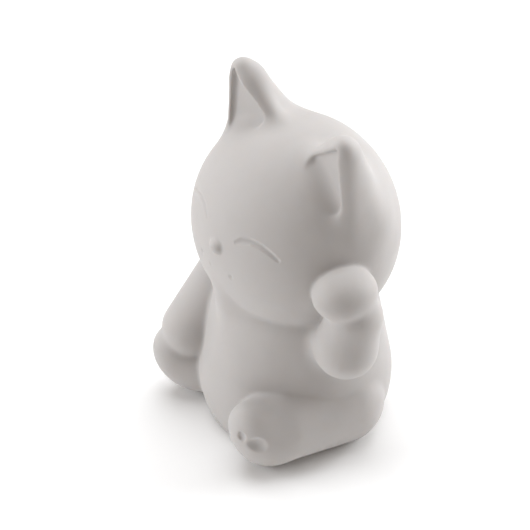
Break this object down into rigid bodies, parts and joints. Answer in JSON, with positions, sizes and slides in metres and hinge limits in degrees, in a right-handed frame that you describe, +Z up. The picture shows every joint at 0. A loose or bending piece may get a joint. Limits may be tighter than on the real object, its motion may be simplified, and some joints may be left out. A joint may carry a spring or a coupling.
{
  "type": "beckoning cat figurine",
  "caption": "Sitting cat figurine with one raised paw: a soft matte hollow skin over a plug-in light base with cells, LED, slide switch and battery door.",
  "frame": {"origin": "centre of the base unit's flat underside, level with the skin's resting rim", "axes": "+Z up; the body faces -Y; the raised left paw is at +X"},
  "size_m": [0.0815, 0.0726, 0.1226],
  "materials": {
    "soft_skin": "matte",
    "white_abs": "satin",
    "frosted_plastic": "frosted",
    "led_resin": "polished",
    "board": "solder mask",
    "black_plastic": "satin",
    "resistor_body": "satin",
    "steel": "satin",
    "red_insulation": "satin",
    "black_insulation": "satin"
  },
  "bodies": {
    "figure": {"skin": "soft_skin", "base_cup": "white_abs", "base_deck": "white_abs", "deck_screw_1": "steel", "deck_screw_2": "steel", "deck_screw_3": "steel", "diffuser_dome": "frosted_plastic", "circuit_board": "board", "led": "led_resin", "driver_chip": "black_plastic", "resistor": "resistor_body", "contact_plate": "steel", "contact_spring_plate": "steel", "contact_spring": "steel", "button_cell_1": "steel", "button_cell_2": "steel", "button_cell_3": "steel", "switch_can": "steel", "wire_red": "red_insulation", "wire_black": "black_insulation"},
    "knob": {"switch_knob": "black_plastic"},
    "door": {"battery_door": "white_abs"},
    "screw": {"door_screw": "steel"}
  },
  "joints": [
    {"name": "switch_slide", "type": "slide", "parent": "figure", "child": "knob", "axis": [1, 0, 0], "range_m": [0, 0.003]},
    {"name": "door_lift", "type": "slide", "parent": "figure", "child": "door", "axis": [0, 0, -1], "range_m": [0, 0.012]},
    {"name": "screw_turn", "type": "hinge", "parent": "door", "child": "screw", "pos_m": [0.014, -0.0084, 0], "axis": [0, 0, 1], "continuous": true}
  ]
}
